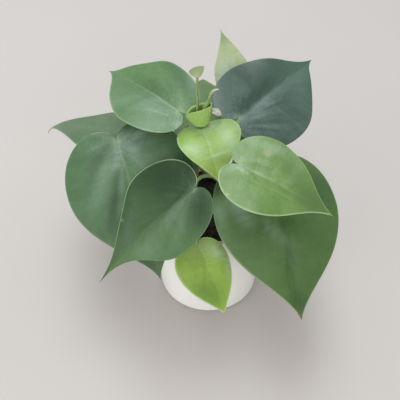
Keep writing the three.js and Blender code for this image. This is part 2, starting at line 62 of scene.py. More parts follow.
LEAVES = {
    "leaf_a_upper_left": {
        "at": (-21.5, 19.5, 157), "angles": (137, 0, -18), "size": (76, 60),
        "outline": (0.136, 0.304, 0.41, 0.79), "curve": (25, 15, 0.06), "skew": 0.1, "wave": 0.8,
        "vine": ("vine_centre", 130), "rise": (-12, 19, 136), "reach": (-19, 19, 147),
        "slot": "leaf_green",
        "colours": ((0.052, 0.128, 0.038), (0.08, 0.166, 0.056), (0.062, 0.145, 0.036)), "rib": 0.28,
        "rims": (0.1, 0.25), "ray": 0.2, "rough": 0.4, "groove": 0.25, "sheen_grain": 0.1,
        "folds_and_shading": [
            (3, 4, 29, 18, 5, 0.035), (3, 9, 18, 15, 1.1, 0.07, 0.15), (3, 1, 26, 3, 1, 0.06),
            (-1, -4, 10, -11, 2.8, 0.05), (13, -9, 24, -13, 1.6, -0.15, 0.2), (2, -14, 27, -27, 5.8, -0.4),
            (18, -6, 44, 1, 7.5, -0.28), (12, 5, 29, 10, 0.7, 0.04), (-4, 12, -8, 8, 2.7, 0.13),
            (7, 14, 0, 12, 4.1, -0.15),
        ],
    },
    "leaf_b_upper_right": {
        "at": (21, 32, 142), "angles": (47.7, 4.2, 20.7), "size": (92, 74.5),
        "outline": (0.124, 0.286, 0.442, 0.777), "curve": (16.6, 6, 0.15), "skew": -0.097, "wave": 1.2,
        "vine": ("vine_centre", 118), "rise": (6, 19, 126), "reach": (14, 22, 134),
        "colours": ((0.014, 0.044, 0.027), (0.026, 0.068, 0.044), (0.028, 0.081, 0.049)), "rims": (0, 0.05),
        "ray": 0.22, "hollow": (1.8, 6), "rough": 0.4, "gloss": 0.6, "tip": 0.035, "sheen_grain": 0.09,
        "folds_and_shading": [
            (1, 4, 44, 5, 4.5, -0.4), (1, -2, 47, -1, 2.1, 0.045), (9, -5, 39, -15, 1.1, -0.32, 0.3),
            (2, -9, 34, -33, 1.5, -0.32, 0.35), (-2, -11, 22, -35, 1.2, -0.28, 0.3),
            (16, -5, 38, -8, 1, -0.22, 0.2), (7, -8, 31, -19, 1.6, 0.035, -0.2),
            (1, -11, 21, -29, 1.2, 0.035, -0.2), (66, -7, 40, -31, 8.5, 0.03),
            (2, -18, 36, -38, 8.2, 0.045), (21, 20, 53, 14, 8, -0.32), (-2, 15, 10, 25, 5.3, -0.25),
        ],
    },
    "leaf_c_lime": {
        "at": (-6.3, 10.7, 149.5), "angles": (-69.8, -30, 9.2), "size": (47.6, 44.8),
        "outline": (0.136, 0.244, 0.368, 0.787), "curve": (87.5, 7.7, 0.122), "skew": 0.12, "wave": 0.5,
        "vine": ("vine_centre", 139), "rise": (-5.4, 12, 140), "reach": (-4.6, 8.5, 144),
        "slot": "leaf_lime",
        "colours": ((0.147, 0.252, 0.031), (0.192, 0.314, 0.047), (0.226, 0.319, 0.063)), "rib": 0.3,
        "rims": (0.35, 0.35), "ray": 0.12, "rough": 0.4, "gloss": 0.6,
        "folds_and_shading": [
            (16, -17, 24, -5, 3.7, 0.16), (11, 15, 23, 15, 3.8, 0.14), (31, -1, 29, 11, 4.1, -0.2),
            (27, -5, 26, 12, 0.9, 0.2, 0.2), (5, -9, 4, 10, 4.2, 0.1), (6, 1, 3, 19, 5, 0.14),
        ],
    },
    "leaf_d_front_left": {
        "at": (-11.3, -30, 129.6), "angles": (-155, -40, -3.3), "size": (98, 78),
        "outline": (0.087, 0.227, 0.431, 0.522), "curve": (27.5, 14, 0.14), "skew": 0.01, "wave": 1,
        "vine": ("vine_right", 88), "rise": (12.5, -4, 121), "reach": (-12.5, -13, 133),
        "colours": ((0.037, 0.08, 0.025), (0.049, 0.107, 0.034), (0.051, 0.108, 0.018)),
        "halves": (0.7, 1.14), "rib": 0.06, "rims": (0.8, 0.08), "hollow": (0.8, 7), "gloss": 0.36,
        "groove": 0.25,
        "folds_and_shading": [
            (4, 0, 30, 11, 4.1, 0.055), (10, 9, 29, 30, 3.5, 0.035), (-3, -2, 1, 3, 1.1, 0.2),
            (1, 7, 3, 15, 1.3, 0.06), (-2, 4, 9, 37, 9.7, -0.6, 0.1), (8, -5, 26, -9, 2.8, 0.012),
            (3, -4, 41, 4, 1.2, -0.2), (26, -38, -4, -3, 15.8, -0.58), (38, -23, 61, -2, 5.6, 0.042),
            (39, 28, 61, 4, 7.8, 0.03), (54.4, -19.6, 53.3, -17.4, 0.6, 0.32, 0.1),
            (5, 4, 6, 10, 1.6, 0.04),
        ],
    },
    "leaf_e_right": {
        "at": (17.3, -33.8, 155), "angles": (-24, -17, 16), "size": (70, 56),
        "outline": (0.136, 0.254, 0.4, 0.75), "curve": (16, 7, 0.1), "skew": 0.02, "wave": 0.8,
        "vine": ("vine_right", 106), "rise": (22, 20, 138), "reach": (20, -20, 148),
        "slot": "leaf_green",
        "colours": ((0.07, 0.152, 0.016), (0.094, 0.184, 0.026), (0.08, 0.155, 0.022)), "rib": 0.25,
        "rims": (0.5, 0.2), "rough": 0.38, "gloss": 0.6, "sheen_grain": 0.1,
        "marks": [(13.3, 16.2, 2.8, 0.32), (4, -23, 1, 0.6), (-1, -22, 0.8, 0.6)],
        "folds_and_shading": [
            (0, -3, 7, -3, 1.9, 0.2, 0.3), (9, 0, 17, 1, 1.4, 0.12, 0.25), (-3, 6, 3, 5, 2, 0.06, 0.25),
            (5, 8, 14, 9, 1.3, 0.07, 0.2), (2, 19, 26, 24, 3.9, 0.13), (3, 2, 23, 8, 0.9, -0.14, 0.3),
            (21, 1, 39, -1, 1, -0.12, 0.2), (-4, -9, -1, 0, 3.6, 0.1), (20, -6, 41, -5, 0.8, 0.05, 0.15),
            (19, 1, 30, 1, 0.6, 0.05), (40, 2, 68, 1, 8.2, -0.36), (23, 16, 43, 9, 5.8, -0.24),
            (8, -8, 20, -7, 0.8, -0.08, 0.2), (-4, 15, 2, 14, 2.6, -0.2), (15, -20, 21, -18, 3.9, -0.16),
        ],
    },
    "leaf_f_front_right": {
        "at": (39.5, -8, 124), "angles": (-77, -28.5, 1), "size": (106, 88),
        "outline": (0.157, 0.29, 0.43, 0.83), "curve": (24, 5, 0.17), "skew": 0.01, "wave": 1.2,
        "vine": ("vine_right", 96), "rise": (26, 6, 108), "reach": (38, 4, 126),
        "colours": ((0.059, 0.119, 0.03), (0.08, 0.157, 0.039), (0.049, 0.103, 0.018)),
        "halves": (1.02, 0.86), "rims": (0.35, 0.1), "turn": (0.15, 0.75), "gloss": 0.35, "groove": 0.06,
        "tip": 0.055, "marks": [(26, -2, 0.8, 0.7)],
        "folds_and_shading": [
            (14, -39, 36, -41, 4.4, 0.09), (32, -6, 47, -13, 1.9, 0.03), (33, -13, 43, -16, 2.3, -0.12),
            (36, 3, 46, 1, 2.3, -0.1), (49, 3, 83, -4, 3.4, -0.26), (49, 6, 61, 5, 0.8, 0.02),
            (17, -27, 37, -22, 5, 0.22), (36, -11, 57, 2, 5.4, 0.07), (-2, 28, 39, 40, 11, -0.38),
            (44, 18, 61, 30, 7.5, -0.15), (85, -1, 102, 0, 6, -0.4),
        ],
    },
    "leaf_g_left": {
        "at": (-67.3, 15.4, 134), "angles": (-65.7, -43.6, 11), "size": (107, 93.5),
        "outline": (0.118, 0.29, 0.46, 0.793), "curve": (28.6, 4.5, 0.14), "skew": 0.025, "wave": 1,
        "vine": ("vine_left", 98), "rise": (-40, 22, 124), "reach": (-66, 30, 142),
        "colours": ((0.042, 0.098, 0.034), (0.059, 0.129, 0.05), (0.053, 0.116, 0.033)), "rib": 0.16,
        "rims": (0.1, 0.1), "lobe_rims": (0.45, 0), "ray": 0.35, "hollow": (1, 6), "gloss": 0.45,
        "sheen_grain": 0.08,
        "folds_and_shading": [
            (-3, 8, 5, 21, 5.2, 0.19), (-2, 4, 17, 11, 5.3, 0.17), (10, -8, 41, -29, 4.3, 0.07),
            (1, 0, 23, -7, 3, 0.17), (19, -1, 37, -8, 1.6, 0.08, -0.2), (2, 0, 19, -1, 1, 0.07),
            (23, -6, 62, -23, 3.6, -0.6, 0.1), (0, -6, 17, -24, 3.1, -0.34, 0.2),
            (-1, -7, 1, -23, 1.3, 0.04), (64, -33, 61, -27, 6.5, -0.24), (12, -21, 29, -32, 2.8, -0.12),
            (-5, -8, -6, -17, 2.1, -0.25), (5, -39, 6, -14, 5.6, -0.16), (8, 19, 17, 39, 6.6, 0.04),
            (19, 12, 17, 17, 3.5, -0.14),
        ],
    },
    "leaf_h_rim": {
        "at": (-8.7, -50.1, 94.1), "angles": (-61.1, -39.7, -1.6), "size": (51.2, 40),
        "outline": (0.095, 0.278, 0.423, 0.909), "curve": (29.4, 4.6, 0.16), "skew": -0.107, "wave": 0.5,
        "vine": ("vine_centre", 86), "rise": (-4, -20, 104), "reach": (-11, -44, 106),
        "slot": "leaf_lime",
        "colours": ((0.222, 0.343, 0.045), (0.29, 0.426, 0.065), (0.285, 0.416, 0.056)), "rib": 0.1,
        "rims": (0.7, 1), "ray": 0.2, "gloss": 0.4,
        "folds_and_shading": [
            (17, 15, 1, 6, 5.6, 0.26), (15, 18, 30, 11, 2.2, 0.2), (4, -14, 4, -3, 3.6, 0.09),
            (10, 1, 30, -9, 1, -0.1, 0.15), (24, -20, 44, 5, 11.2, -0.45),
        ],
    },
    "leaf_j_far_left": {
        "at": (-56.7, 48.4, 116), "angles": (166.5, -12, 12), "size": (82, 65.5),
        "outline": (0.17, 0.265, 0.347, 0.74), "curve": (11, 6, 0.13), "skew": 0.08, "wave": 0.6,
        "vine": ("vine_left", 88), "rise": (-32, 22, 102), "reach": (-46, 44, 112), "hook": 65,
        "slot": "leaf_green",
        "colours": ((0.058, 0.11, 0.045), (0.075, 0.142, 0.057), (0.071, 0.127, 0.049)), "rib": 0.1,
        "rims": (0.15, 0.15), "ray": 0.2, "gloss": 0.5,
        "folds_and_shading": [
            (58, -3, 37, 3, 3, 0.02), (39, -15, 18, -1, 6.3, 0.01), (50, -14, 35, -25, 2.5, -0.1),
        ],
    },
    "leaf_k_rear": {
        "at": (23, 71, 134), "angles": (113, 47, 17), "size": (54, 37.5),
        "outline": (0.171, 0.256, 0.41, 0.78), "curve": (15, 6, 0.115), "skew": 0, "wave": 0.5,
        "vine": ("vine_centre", 126), "rise": (6, 26, 138), "reach": (26, 56, 126),
        # Partly the young leaf's own pale colour, partly painted light shining through it from behind
        "slot": "leaf_pale", "colours": ((0.323, 0.372, 0.187), (0.399, 0.456, 0.255), (0.342, 0.4, 0.196)),
        "rib": 0.05, "ray": 0.1, "rough": 0.55,
        "folds_and_shading": [
            (54, 0, 40, 2, 7.9, -0.34), (14, 18, 24, 2, 6.4, 0.34),
        ],
    },
    "leaf_l_under": {
        "at": (-10, 67.6, 123.2), "angles": (-15.7, -16.8, 7.5), "size": (79, 74.5),
        "outline": (0.125, -0.048, 0.417, 0.8), "curve": (0, 5, 0.16), "skew": -0.01, "wave": 0.8,
        "vine": ("vine_right", 91.5), "rise": (-2, 20.5, 103.5), "reach": (-26, 30, 93.5),
        "colours": ((0.081, 0.141, 0.043), (0.108, 0.188, 0.058), (0.072, 0.122, 0.036)), "rib": 0.05,
        "rims": (0.2, 0.2), "ray": 0.15,
    },
    "leaf_m_newest": {
        "at": (-9.6, 18.6, 185.3), "angles": (56.6, 26.5, -8.5), "size": (9.9, 10.6),
        "outline": (-0.042, 0.359, 0.412, 1.08), "curve": (4.3, 15, 0.1), "skew": 0.476, "wave": 0,
        "root": (-8.6, 12.6, 155.4), "rise": (-8.8, 12.8, 164), "reach": (-9.4, 16, 175), "petiole": 0.9,
        "small": True,
        "slot": "leaf_pale", "colours": ((0.14, 0.17, 0.056), (0.17, 0.2, 0.067), (0.155, 0.185, 0.065)),
        "ray": 0, "hollow": (0, 6), "rough": 0.5,
    },
}

# Colours in linear light
PALE_TISSUE = (0.5, 0.6, 0.36)
DRY_TIP = (0.12, 0.09, 0.055)
BLEMISH = (0.5, 0.33, 0.24)
# Colour of the painted sheen: the pale reflection of a bright sky, laid into the leaves' colour
SHEEN_COLOUR = (0.6, 0.74, 0.68)
GLAZE_SPECK = (0.7, 0.67, 0.62)
SOIL_GRIT = (0.09, 0.065, 0.04)
# Painted shade inside the sheath's cup
SHEATH_INSIDE_SHADE = (0.13, 0.23, 0.05)
SHEATH_RIM = (0.37, 0.48, 0.21)
SPIKE_STREAK = (0.3, 0.42, 0.14)

# The two colours that each plain skin is mixed from, and its roughness
SKINS = {
    "petiole_skin": ((0.155, 0.245, 0.065), (0.25, 0.35, 0.12), 0.45),
    "young_petiole_skin": ((0.13, 0.19, 0.06), (0.2, 0.28, 0.09), 0.45),
    "vine_skin": ((0.08, 0.13, 0.045), (0.165, 0.225, 0.09), 0.5),
    "pot_glaze": ((0.73, 0.725, 0.69), (0.78, 0.775, 0.735), (0.3, 0.38)),
    "potting_mix": ((0.009, 0.008, 0.007), (0.03, 0.024, 0.018), 0.95),
    "sheath_skin": ((0.225, 0.375, 0.078), (0.3, 0.44, 0.128), 0.42),
    "spike_skin": ((0.12, 0.2, 0.045), (0.42, 0.42, 0.31), 0.45),
    "dry_paper": ((0.32, 0.31, 0.24), (0.5, 0.49, 0.42), 0.85),
    "floor_paint": ((0.44, 0.4, 0.378), (0.48, 0.44, 0.417), 0.8),
}
# Painted shade on the pot's inside wall: two dark colours mixed by noise
INSIDE_SHADE_COLOURS = ((0.03, 0.024, 0.018), (0.1, 0.08, 0.06))

# Noises of the skins: scale, detail, and roughness where it isn't the usual one
NOISES = {
    "rays": (1, 3, 0.6), "cloud": (32, 3), "mottle": (230, 3), "sheen_grain": (560, 3, 0.7), "fleck": (900, 2),
    "pores": (2200, 2), "fibres": (1, 2), "glaze": (22, 3), "speck": (700, 1), "dents": (160, 2),
    "inside_shade": (260, 3), "soil": (120, 4, 0.65), "grit": (420, 1), "crumb": (900, 4),
    "sheath": (9, 3), "paper": (420, 4, 0.7), "floor": (3, 3),
}
STEM_FIBRES = (700, 700, 60)
SPIKE_FIBRES = (900, 900, 90)

# Relief of the skins: depth in metres and strength
BUMPS = {
    "crinkle": (0.0004, 0.7), "pores": (0.00003, 0.4), "stem": (0.0002, 0.5), "glaze": (0.0001, 0.4),
    "soil": (0.0006, 0.8), "sheath": (0.0003, 0.5), "paper": (0.0006, 0.8),
}

# Lines of a leaf's skin: how strongly each shows, and how far it goes from the light colour to pale tissue
LINES = {"vein": (0.12, 0.3), "rib": (1, 0.5), "under": (0.8, 0.3), "rim": (1, 0.9)}

# How strongly each colour follows a blade's painted shading, its painted light and shade
SHADING_POWERS = {"Red": 1.25, "Green": 1, "Blue": 1.2}

# Outline of a blade: where its two curves meet, and how long the curves' handles are
LOBE_END = 0.42
LOBE_HANDLES = (-1.56, -1.02)
FULL_HANDLE = 0.75
NOTCH_HANDLE = 0.08
TIP_HANDLE = 0.1

# How the veins' feet are spaced along the midrib, where it hooks down, and the waves of margin and rays
VEIN_SLOW = 0.06
VEIN_START = 0.18
VEIN_POWER = 1.25
HOOK_START = 0.75
RIPPLES = 3
RIPPLE_PHASE = 1.3
RAY_TURNS = (3, 5, 8)

# Side veins of one half: where each leaves the midrib, where it ends on the margin, and its bow
SIDE_VEINS = [
    (0.0, 0.1, 0.1), (0.0, 0.21, 0.16), (0.004, 0.33, 0.16), (0.01, 0.45, 0.14), (0.025, 0.57, 0.14),
    (0.07, 0.68, 0.15), (0.16, 0.77, 0.15), (0.29, 0.85, 0.14), (0.45, 0.91, 0.12), (0.62, 0.955, 0.1),
]
SIDE_VEIN_POINTS = 25

# Grid of a blade: steps along and outward on 100 mm, and its columns at the margin
ALONG_STEPS = 124
OUTWARD_STEPS = 38
LEAST_SCALE = 0.3
INNER_POWER = 0.92
MARGIN_SHARES = [0.975, 0.988, 0.996, 1.0]
WELD = 0.0005

# Relief of a blade, in millimetres. Blades are thinner than the solids they stand for.
BLADE_THICKNESS = 0.5
EDGE_WIDTH = 0.45
CREASE = 0.6
RIB_WIDTH = 1
VEIN_WIDTH = 0.75
VEIN_DEPTHS = (0.04, 0.1)
BASE_FADE = 16
MARGIN_FADE = 9
FOLD_FADE = 4

# How much of it a small leaf has, how much of the groove shows below, and where it fades at the tip
SMALL_RELIEF = 0.35
RIB_BELOW = 1.1
TIP_FADE = 0.12

# Lines on a blade's skin, in millimetres, and where the pale edge of a lobe ends
LINE_WIDTH = 0.6
RIM_WIDTH = 0.9
HALF_BLEND = 1.5
BASE_RADIUS = 4
CRINKLE_RADIUS = 22
LOBE_RIM_END = 0.16

# Streaks of a blade's skin: how fast they change along the margin and outward, and what sets the halves apart
STREAKS = 34
STREAKS_OUTWARD = 2.2
HALF_APART = 60


def unit(value):
    return np.clip(value, 0, 1)


def bell(distance, width):
    """1 at no distance, and falling off softly over the width."""
    return np.exp(-(distance / width) ** 2)


def curve(p0, p1, p2, p3, t):
    w = 1 - t
    return w**3 * p0 + 3 * w * w * t * p1 + 3 * w * t * t * p2 + t**3 * p3


def margin(leaf, s):
    """Margin of one half, as shares of the length and of half the width."""
    s = np.asarray(s, float)
    lobe, wide, full, neck = leaf["outline"]
    first = unit(s / LOBE_END)
    second = unit((s - LOBE_END) / (1 - LOBE_END))
    low = s <= LOBE_END
    along_low = curve(0, LOBE_HANDLES[0] * lobe, LOBE_HANDLES[1] * lobe, wide, first)
    along = np.where(low, along_low, curve(wide, wide + FULL_HANDLE * full, neck, 1, second))
    across = np.where(low, curve(0, NOTCH_HANDLE, 1, 1, first), curve(1, 1, TIP_HANDLE, 0, second))
    return along, across


def vein_foot(s):
    """Where the vein of place s leaves the midrib, as a share of the length."""
    rest = np.clip((s - VEIN_START) / (1 - VEIN_START), 0, None)
    return VEIN_SLOW * s + (1 - VEIN_SLOW) * rest**VEIN_POWER


def midrib(leaf):
    """The midrib's line in its own plane: a function from share of length to x, z and heading."""
    start, steps = -0.3, 520
    bend, hook = math.radians(leaf["curve"][0]), math.radians(leaf["hook"])
    t = np.linspace(start, 1, steps + 1)

    def heading(at):
        return -bend * at - hook * np.clip((at - HOOK_START) / (1 - HOOK_START), 0, None) ** 2

    middle = heading((t[1:] + t[:-1]) / 2)
    step = t[1] - t[0]
    x, z = (np.concatenate([[0], np.cumsum(step * way(middle))]) for way in (np.cos, np.sin))
    x, z = x - np.interp(0, t, x), z - np.interp(0, t, z)
    lift = math.atan2(z[-1], x[-1])
    turned_x = x * math.cos(lift) + z * math.sin(lift)
    turned_z = -x * math.sin(lift) + z * math.cos(lift)
    return lambda u: (np.interp(u, t, turned_x), np.interp(u, t, turned_z), heading(u) - lift)


def leaf_axes(leaf):
    """Directions along the blade, across it to the left, and out of its upper side."""
    azimuth, pitch, roll = (math.radians(angle) for angle in leaf["angles"])
    level = np.array([-math.sin(azimuth), math.cos(azimuth), 0])
    along = np.array([level[1] * math.cos(pitch), -level[0] * math.cos(pitch), math.sin(pitch)])
    above = np.cross(along, level)
    across = level * math.cos(roll) + above * math.sin(roll)
    return np.array([along, across, np.cross(along, across)])


def blade_points(leaf, side, s, q, lift):
    """Middle of the blade at vein s and share q of the way to the margin, moved by lift along its normal."""
    along_share, across_share = margin(leaf, s)
    foot = vein_foot(s)
    length, width = leaf["size"]
    _, fold, dome = leaf["curve"]
    half = width / 2
    u = foot + (along_share - foot) * q
    v = across_share * q * half * (1 + side * leaf["skew"])
    rise = math.tan(math.radians(fold))
    ripple = leaf["wave"] * q * q * np.sin(np.pi * s) * np.sin(2 * RIPPLES * np.pi * s + RIPPLE_PHASE * side)
    height = rise * (np.sqrt(v * v + CREASE**2) - CREASE) - dome * v * v / half + ripple
    slope = rise - dome * v / half
    across = side * v / np.sqrt(1 + slope * slope)
    x, z, heading = leaf["midrib"](u)
    tilt = side * (rise * v / (v + CREASE) - 2 * dome * v / half)
    steep = np.sqrt(1 + tilt * tilt)
    out = height + lift / steep
    local = np.stack([
        x * length - out * np.sin(heading),
        across - lift * tilt / steep,
        z * length + out * np.cos(heading),
    ], axis=-1)
    return local @ leaf["axes"] + np.array(leaf["at"]), u * length, v


def from_line(along, across, start, end):
    """Distance in the flat of the blade to a straight line, and how far on it the nearest place is."""
    run = end[0] - start[0], end[1] - start[1]
    x, y = along - start[0], across - start[1]
    place = unit((x * run[0] + y * run[1]) / (run[0] ** 2 + run[1] ** 2))
    return np.hypot(x - place * run[0], y - place * run[1]), place


def vein_distance(leaf, side, along, across):
    """Distance in the flat of the blade to the nearest side vein, and how far out on it that is."""
    length, width = leaf["size"]
    half = width / 2 * (1 + side * leaf["skew"])
    best = np.full(along.shape, np.inf)
    share = np.zeros(along.shape)
    t = np.linspace(0, 1, SIDE_VEIN_POINTS)[:, None]
    for foot, end, bow in SIDE_VEINS:
        a = np.array([foot * length, 0])
        b = np.array(margin(leaf, end)) * (length, half)
        chord = b - a
        middle = (a + b) / 2 + bow * np.array([-chord[1], chord[0]])
        line = (1 - t) ** 2 * a + 2 * t * (1 - t) * middle + t * t * b
        for i in range(len(t) - 1):
            gap, place = from_line(along, across, line[i], line[i + 1])
            near = gap < best
            best = np.where(near, gap, best)
            share = np.where(near, t[i] + place * (t[i + 1] - t[i]), share)
    return best, share


# Shapes shared by the pieces
def around(sides):
    return np.linspace(0, 2 * np.pi, sides, endpoint=False)


def ring_quads(rings, sides, first=0):
    """Faces between rings of points that follow one another."""
    turn = [(k, (k + 1) % sides) for k in range(sides)]
    starts = [first + ring * sides for ring in range(rings - 1)]
    return [(a + k, a + n, a + sides + n, a + sides + k) for a in starts for k, n in turn]


def fan(centre, first, sides, flipped=False):
    """Faces from a point to the ring of points that starts at first."""
    faces = [(centre, first + k, first + (k + 1) % sides) for k in range(sides)]
    return [face[::-1] for face in faces] if flipped else faces


def tube(path, radii, sides):
    """Points and faces of a closed tube."""
    path = np.asarray(path, float)
    tangents = np.gradient(path, axis=0)
    tangents /= np.linalg.norm(tangents, axis=1)[:, None]
    across = np.array([0, 1.0, 0] if abs(tangents[0][0]) > 0.9 else [1.0, 0, 0])
    angles = around(sides)
    points = []
    for p, tangent, radius in zip(path, tangents, radii):
        across = across - tangent * (across @ tangent)
        across /= np.linalg.norm(across)
        up = np.cross(tangent, across)
        ring = np.cos(angles)[:, None] * across + np.sin(angles)[:, None] * up
        points.append(p + radius * ring)
    last = (len(path) - 1) * sides
    ends = [tuple(range(sides))[::-1], tuple(range(last, last + sides))]
    return np.concatenate(points), ring_quads(len(path), sides) + ends


def turned(profile, sides):
    """Points and faces of a profile turned about Z, from and back to the axis."""
    angles = around(sides)
    rings = profile[1:-1]
    points = [(0, 0, profile[0][1])]
    for radius, height in rings:
        points += [(radius * math.cos(a), radius * math.sin(a), height) for a in angles]
    points.append((0, 0, profile[-1][1]))
    last = 1 + (len(rings) - 1) * sides
    ends = fan(0, 1, sides, True) + fan(len(points) - 1, last, sides)
    return points, ring_quads(len(rings), sides, 1) + ends


def icosphere(subdivisions):
    """Points and faces of a ball of radius 1."""
    ball = bmesh.new()
    bmesh.ops.create_icosphere(ball, subdivisions=subdivisions, radius=1)
    points = np.array([v.co for v in ball.verts])
    faces = [tuple(v.index for v in f.verts) for f in ball.faces]
    ball.free()
    return points, faces


def smooth_line(points, count):
    """A smooth line through points, drawn as in the model's source."""
    pts = [np.array(p, float) for p in points]
    pts = [2 * pts[0] - pts[1]] + pts + [2 * pts[-1] - pts[-2]]
    line = []
    pieces = len(points) - 1
    for n in range(count + 1):
        place = n / count * pieces
        i = min(int(place), pieces - 1)
        t = place - i
        p0, p1, p2, p3 = pts[i:i + 4]
        d0, d1, d2 = (max(np.linalg.norm(b - a), 1e-4) ** 0.5 for a, b in ((p0, p1), (p1, p2), (p2, p3)))
        m1 = ((p1 - p0) / d0 - (p2 - p0) / (d0 + d1) + (p2 - p1) / d1) * d1
        m2 = ((p2 - p1) / d1 - (p3 - p1) / (d1 + d2) + (p3 - p2) / d2) * d1
        line.append(curve(p1, p1 + m1 / 3, p2 - m2 / 3, p2, t))
    return np.array(line)


def add_object(name, data):
    obj = bpy.data.objects.new(name, data)
    bpy.context.scene.collection.objects.link(obj)
    return obj


def make_piece(name, node, slot, shape, material, weld=0, **attributes):
    """A smooth visible piece in place of a node, from its points and faces, with one number to a point."""
    points, faces = shape
    mesh = bpy.data.meshes.new(name)
    mesh.from_pydata((np.asarray(points) * MM).tolist(), [], faces)
    for key, values in attributes.items():
        layer = mesh.attributes.new(key, "FLOAT", "POINT")
        layer.data.foreach_set("value", np.asarray(values, np.float32))
    if weld:
        bm = bmesh.new()
        bm.from_mesh(mesh)
        bmesh.ops.remove_doubles(bm, verts=bm.verts, dist=weld * MM)
        bmesh.ops.recalc_face_normals(bm, faces=bm.faces)
        bm.to_mesh(mesh)
        bm.free()
    mesh.polygons.foreach_set("use_smooth", [True] * len(mesh.polygons))
    mesh.materials.append(material)
    obj = add_object(name, mesh)
    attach(obj, "root")
    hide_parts(node)


# Materials
class Skin:
    """A material's node tree, with short calls for the nodes used here."""

    def __init__(self, name, skin=None):
        self.material = bpy.data.materials.new(name)
        self.low, self.high, self.rough = skin or SKINS[name]
        self.material.use_nodes = True
        self.tree = self.material.node_tree
        self.tree.nodes.clear()
        self.main = self.node("ShaderNodeBsdfPrincipled")
        self.node("ShaderNodeOutputMaterial", {"Surface": self.main.outputs[0]})
        self.place = self.node("ShaderNodeTexCoord").outputs["Object"]

    def put(self, node, inputs):
        """Set those of a node's inputs that are given, by a number, a colour or a link."""
        for key, value in inputs.items():
            socket = node.inputs[key]
            if isinstance(value, bpy.types.NodeSocket):
                self.tree.links.new(value, socket)
            elif isinstance(value, tuple) and len(value) < len(socket.default_value):
                socket.default_value = (*value, 1)
            elif value is not None:
                socket.default_value = value

    def node(self, kind, inputs=None, **settings):
        made = self.tree.nodes.new(kind)
        for key, value in settings.items():
            setattr(made, key, value)
        self.put(made, inputs or {})
        return made

    def math(self, operation, a, b):
        return self.node("ShaderNodeMath", {0: a, 1: b}, operation=operation).outputs[0]

    def times(self, a, b):
        return a if b == 1 else self.math("MULTIPLY", a, b)

    def mix(self, factor, a, b, blend="MIX"):
        inputs = {0: factor, 6: a, 7: b}
        return self.node("ShaderNodeMix", inputs, data_type="RGBA", blend_type=blend).outputs[2]

    def read(self, name):
        return self.node("ShaderNodeAttribute", attribute_name=name).outputs["Fac"]

    def combined(self, x, y, z):
        return self.node("ShaderNodeCombineXYZ", {"X": x, "Y": y, "Z": z}).outputs[0]

    def stretched(self, scale):
        return self.node("ShaderNodeMapping", {"Vector": self.place, "Scale": scale}).outputs[0]

    def noise(self, name, vector=None):
        inputs = dict(zip(("Scale", "Detail", "Roughness"), NOISES[name]))
        inputs["Vector"] = vector or self.place
        return self.node("ShaderNodeTexNoise", inputs).outputs["Fac"]

    def span(self, value, low, high, to_low=0, to_high=1):
        inputs = {"Value": value, "From Min": low, "From Max": high, "To Min": to_low, "To Max": to_high}
        return self.node("ShaderNodeMapRange", inputs, interpolation_type="SMOOTHSTEP").outputs["Result"]

    def bump(self, height, name, normal=None):
        distance, strength = BUMPS[name]
        inputs = {"Height": height, "Distance": distance, "Strength": strength, "Normal": normal}
        return self.node("ShaderNodeBump", inputs).outputs["Normal"]

    def blend(self, value, low=0.3, high=0.7):
        """Start the colour with the skin's two colours, mixed by the value."""
        self.colour = self.mix(self.span(value, low, high), self.low, self.high)

    def paint(self, factor, tint, *span):
        """Lay a tint over the colour so far, by a factor or by the span of a value."""
        self.colour = self.mix(self.span(factor, *span) if span else factor, self.colour, tint)

    def finished(self, *bump):
        """The material, with its surface's inputs set and its last bump, if it has one."""
        normal = self.bump(*bump) if bump else None
        self.put(self.main, {"Base Color": self.colour, "Roughness": self.rough, "Normal": normal})
        return self.material


def leaf_material(name, leaf, seed):
    deep, light, end = leaf["colours"]
    skin = Skin(name, (deep, light, None))
    read, noise, span = skin.read, skin.noise, skin.span
    paint, times = skin.paint, skin.times

    def line(kind):
        shown, pale = LINES[kind]
        tint = tuple(c + (p - c) * pale for c, p in zip(light, PALE_TISSUE))
        paint(times(read(kind), shown), tint)

    streak = noise("rays", skin.combined(read("ray"), read("outward"), float(seed)))
    sheen_grain = span(noise("sheen_grain"), 0.46, 0.74)
    skin.blend(skin.math("ADD", times(noise("cloud"), 0.6), times(noise("mottle"), 0.4)), 0.35, 0.65)
    paint(read("reach"), end, *leaf["turn"], 0, 0.85)
    paint(streak, light, 0.4, 0.75, 0, 0.4)
    paint(noise("fleck"), deep, 0.5, 0.8, 0, 0.5)
    for kind in ("vein", "rib", "under"):
        line(kind)
    # Painted sheen of the strokes, broken up by the streaks
    paint(times(read("painted_sheen"), span(streak, 0.3, 0.7, 0.7, 1.3)), SHEEN_COLOUR)
    # Painted sheen on the fine grain near the base, where the skin crinkles
    paint(times(times(sheen_grain, read("crinkle")), leaf["sheen_grain"]), SHEEN_COLOUR)
    # Painted light and shade of the halves and of the strokes, taken more from red and blue
    shading_channels = {k: skin.math("POWER", read("painted_shading"), power) for k, power in SHADING_POWERS.items()}
    painted_shading = skin.node("ShaderNodeCombineColor", shading_channels).outputs[0]
    skin.colour = skin.mix(1, skin.colour, painted_shading, "MULTIPLY")
    line("rim")
    paint(read("dry"), DRY_TIP)
    paint(read("spot"), BLEMISH)

    skin.rough = span(streak, 0.2, 0.8, leaf["rough"] - 0.04, leaf["rough"] + 0.05)
    skin.put(skin.main, {"Specular IOR Level": leaf["gloss"]})
    relief = skin.math("ADD", streak, times(sheen_grain, 0.25))
    normal = skin.bump(times(relief, read("crinkle")), "crinkle")
    return skin.finished(noise("pores"), "pores", normal)


def stem_material(name):
    skin = Skin(name)
    streak = skin.noise("fibres", skin.stretched(STEM_FIBRES))
    skin.blend(streak)
    return skin.finished(streak, "stem")


